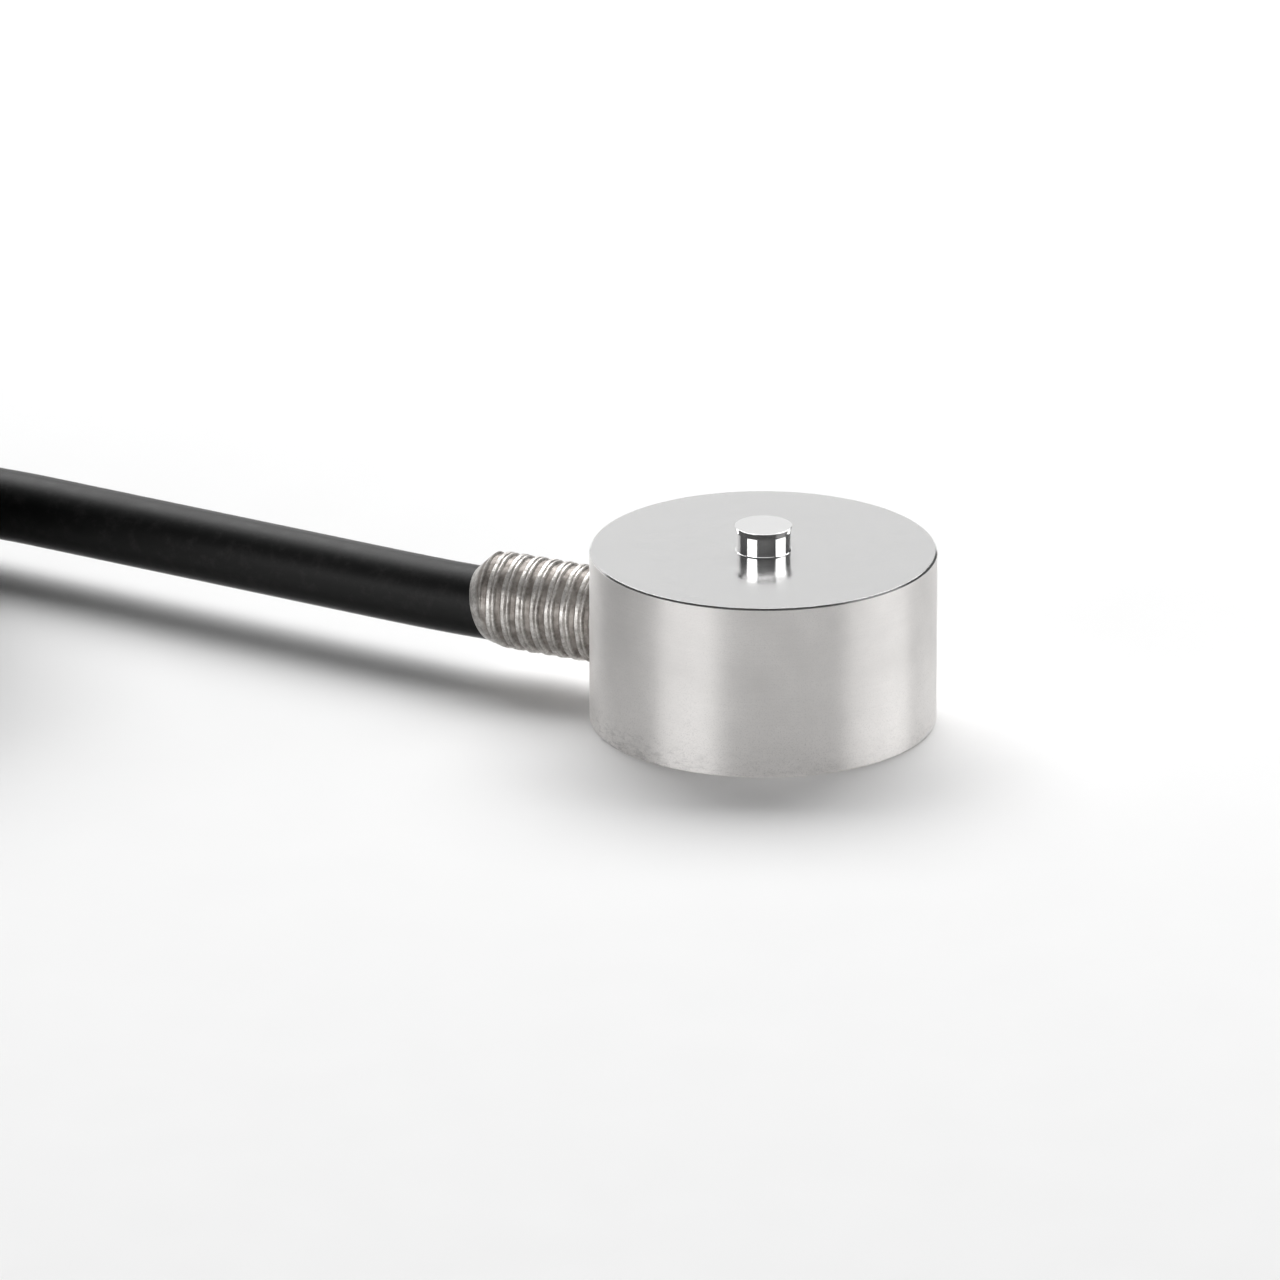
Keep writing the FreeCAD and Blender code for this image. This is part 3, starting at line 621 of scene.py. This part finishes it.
def polished_steel(name):
    """Bright button with a faint cloudiness."""
    finish = Finish(name, metallic=1.0)
    cloud = finish.noise(1.5, 3.0)
    finish.set("Roughness", finish.span(cloud, 0.3, 0.7, 0.06, 0.09))
    finish.set("Base Color", finish.mix(cloud, (0.86, 0.858, 0.856), (0.92, 0.918, 0.916)))
    return finish.material


def plated_metal(name):
    """Worn plating on the thread: bright on the crests and the bevel, stained, dull and darkened with
    painted shade in the roots.
    """
    finish = Finish(name, metallic=0.72)
    x, y, z = finish.coordinates()
    rise = finish.maths("SUBTRACT", z, NIPPLE_HEIGHT)
    square = finish.maths("ADD", finish.maths("MULTIPLY", rise, rise), finish.maths("MULTIPLY", y, y))
    radius = finish.maths("SQRT", square)
    crest = finish.span(radius, THREAD_DIA / 2 - THREAD_DEPTH, THREAD_DIA / 2 - 0.05)
    leaning = finish.maths("ADD", x, finish.maths("MULTIPLY", rise, math.tan(MOUTH_SLANT)))
    bevel = finish.span(leaning, NIPPLE_MOUTH + 0.45, NIPPLE_MOUTH + 0.75, 1.0, 0.0)
    bright = finish.maths("MAXIMUM", crest, bevel)
    blotch = finish.noise(1.3, 5.0, roughness=0.65)
    grain = finish.noise(7.0, 3.0)
    # Painted shade: the roots get a much darker colour than the crests, mottled with a brownish stain.
    root = finish.mix(finish.span(blotch, 0.38, 0.62), (0.17, 0.15, 0.135), (0.36, 0.33, 0.305))
    ridge = finish.mix(finish.span(grain, 0.3, 0.6), (0.5, 0.48, 0.455), (0.74, 0.72, 0.695))
    # Mask of the crests and the bevel, with dull patches; where it is low, the roots' painted shade and
    # stain show.
    worn = finish.maths("MULTIPLY", bright, finish.span(blotch, 0.36, 0.58, 0.4, 1.0))
    finish.set("Base Color", finish.mix(worn, root, ridge))
    finish.set("Roughness", finish.span(worn, 0.0, 1.0, 0.52, 0.38))
    finish.bump(finish.maths("ADD", blotch, finish.maths("MULTIPLY", grain, 0.5)), 0.55, 0.07)
    return finish.material


def simple(name, low, high, rough, scale=1.5, metallic=0.0, strength=0.1):
    """One material mottled between two colours, with a faint relief."""
    finish = Finish(name, metallic)
    pattern = finish.noise(scale, 4.0)
    finish.set("Base Color", finish.mix(finish.span(pattern, 0.3, 0.7), low, high))
    finish.set("Roughness", finish.span(pattern, 0.3, 0.7, rough[0], rough[1]))
    finish.bump(pattern, strength, 0.02)
    return finish.material


def black_jacket(name):
    """Smooth dark jacket with a fine pebbled skin, a little dust and a soft sheen."""
    finish = Finish(name, specular=0.2)
    pebbles = finish.noise(7.0, 3.0)
    dust = finish.noise(1.2, 5.0, roughness=0.7)
    dusty = finish.span(dust, 0.5, 0.75)
    finish.set("Base Color", finish.mix(dusty, (0.005, 0.005, 0.005), (0.016, 0.015, 0.015)))
    finish.set("Roughness", finish.span(dust, 0.3, 0.7, 0.42, 0.52))
    finish.set("Sheen Weight", 0.55)
    finish.set("Sheen Roughness", 0.22)
    finish.bump(pebbles, 0.16, 0.02)
    return finish.material


def paint(piece, material):
    piece.data.materials.clear()
    piece.data.materials.append(material)


def paint_body(body, steel):
    paint(body, steel)
    body.data.materials.append(ground_steel("ground_stainless"))
    body.data.materials.append(polished_steel("polished_stainless"))
    part_faces(body)


def paint_inside(steel, tin):
    """The solids that stay as they are inside the housing, and its cover."""
    paint(NODES["base_cover"], steel)
    paint(NODES["gauge_jumpers"], tin)
    laminate = simple("laminate", (0.03, 0.16, 0.06), (0.05, 0.2, 0.08), (0.4, 0.5))
    paint(NODES["terminal_board"], laminate)
    compound = simple("compound", (0.015, 0.014, 0.013), (0.03, 0.028, 0.026), (0.3, 0.45))
    paint(NODES["potting_plug"], compound)
    ceramic = simple("ceramic", (0.02, 0.02, 0.022), (0.04, 0.04, 0.042), (0.4, 0.5))
    for name in ("zero_trim_resistor", "span_resistor_1", "span_resistor_2"):
        paint(NODES[name], ceramic)
    backing = simple("gauge_film", (0.5, 0.28, 0.06), (0.6, 0.36, 0.1), (0.3, 0.4))
    for number in range(1, 5):
        paint(NODES[f"strain_gauge_{number}"], backing)


def finish_ties():
    """The solids of the ties, with their edges rounded."""
    nylon = simple("nylon", (0.016, 0.016, 0.017), (0.03, 0.03, 0.031), (0.35, 0.45))
    ties = [NODES["hank_tie_1"], NODES["hank_tie_2"]]
    for tie in ties:
        paint(tie, nylon)
        weld = tie.modifiers.new("joined_corners", "WELD")
        weld.merge_threshold = TIE_JOIN * MM
        bevel = tie.modifiers.new("soft_edges", "BEVEL")
        bevel.width = TIE_ROUNDING * MM
        bevel.segments = 3
    return ties


# Stage


def camera_axes():
    turn = math.radians(CAMERA_TURN)
    tilt = math.radians(CAMERA_TILT)
    level = math.cos(tilt)
    forward = Vector((-math.sin(turn) * level, math.cos(turn) * level, -math.sin(tilt)))
    right = Vector((math.cos(turn), math.sin(turn), 0))
    return forward, right, right.cross(forward)


def add_camera():
    forward, right, up = camera_axes()
    aim = (right * AIM_RIGHT + up * AIM_UP) * MM
    lens = bpy.data.cameras.new("camera")
    lens.sensor_width = SENSOR_WIDTH
    lens.lens = SENSOR_WIDTH * CAMERA_DISTANCE / (FRAME_WIDTH * MM)
    lens.clip_start = 0.01
    lens.clip_end = 20.0
    camera = bpy.data.objects.new("camera", lens)
    camera.location = aim - forward * CAMERA_DISTANCE
    camera.rotation_mode = "QUATERNION"
    camera.rotation_quaternion = forward.to_track_quat("-Z", "Y")
    bpy.context.scene.collection.objects.link(camera)
    bpy.context.scene.camera = camera


def add_light(name, turn, tilt, distance, wide, high, power):
    """A soft box that faces the part."""
    _, right, _ = camera_axes()
    towards = Vector((right.y, -right.x, 0))
    level = towards * math.cos(math.radians(turn)) + right * math.sin(math.radians(turn))
    place = level * math.cos(math.radians(tilt)) + Vector((0, 0, math.sin(math.radians(tilt))))
    data = bpy.data.lights.new(name, "AREA")
    data.shape = "RECTANGLE"
    data.size = wide
    data.size_y = high
    data.energy = power
    light = bpy.data.objects.new(name, data)
    light.location = place * distance + Vector((0, 0, LIGHT_AIM_HEIGHT))
    light.rotation_mode = "QUATERNION"
    light.rotation_quaternion = (-place).to_track_quat("-Z", "Y")
    light.visible_camera = False
    bpy.context.scene.collection.objects.link(light)


def add_world():
    world = bpy.data.worlds.new("studio")
    world.use_nodes = True
    background = world.node_tree.nodes["Background"]
    background.inputs["Color"].default_value = (1.0, 1.0, 1.0, 1.0)
    background.inputs["Strength"].default_value = WORLD_LEVEL
    bpy.context.scene.world = world


def add_floor():
    sides = ((-1, -1), (1, -1), (1, 1), (-1, 1))
    corners = [(x * FLOOR_HALF, y * FLOOR_HALF, 0) for x, y in sides]
    floor = add_mesh("floor", corners, [(0, 1, 2, 3)])
    paint(floor, simple("paper", (0.87, 0.87, 0.87), (0.88, 0.88, 0.88), (0.7, 0.8), 0.2, strength=0.0))


def set_stage():
    add_camera()
    add_world()
    for light in LIGHTS:
        add_light(*light)
    add_floor()
    bpy.context.scene.view_settings.view_transform = "Standard"


def main():
    body = make_body()
    nipple = make_nipple()
    cable = spline("cable", list(RUN) + hank() + list(TAIL), CABLE_DIA)
    sleeve = make_sleeve()
    leads, tips, drain = make_leads()

    steel = turned_steel("turned_stainless")
    plating = plated_metal("nickel_plating")
    rubber = black_jacket("black_jacket")
    tin = simple("tinned_wire", (0.62, 0.61, 0.58), (0.75, 0.74, 0.72), (0.25, 0.4), 3.0, 1.0)
    paint_body(body, steel)
    paint(nipple, plating)
    paint(cable, rubber)
    shrink = simple("shrink", (0.012, 0.012, 0.013), (0.02, 0.02, 0.02), (0.5, 0.6))
    paint(sleeve, shrink)
    paint(drain, tin)
    for colour, light_tone in INSULATION.items():
        dark_tone = tuple(level * 0.85 for level in light_tone)
        insulation = simple(f"insulation_{colour}", dark_tone, light_tone, (0.35, 0.45))
        paint(leads[colour], insulation)
        paint(tips[colour], tin)
        paint(NODES[f"core_{colour}"], insulation)
    paint_inside(steel, tin)
    ties = finish_ties()

    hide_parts("sensor_body")
    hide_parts("threaded_nipple")
    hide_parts("cable_run", "cable_hank", "cable_tail")
    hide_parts("heat_shrink_sleeve")
    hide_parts("shield_drain")
    for colour in LEADS:
        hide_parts(f"lead_{colour}")
        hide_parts(f"tip_{colour}")
    made = [body, nipple, cable, sleeve, drain, *leads.values(), *tips.values()]
    for piece in made:
        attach(piece, "root")

    set_stage()


main()
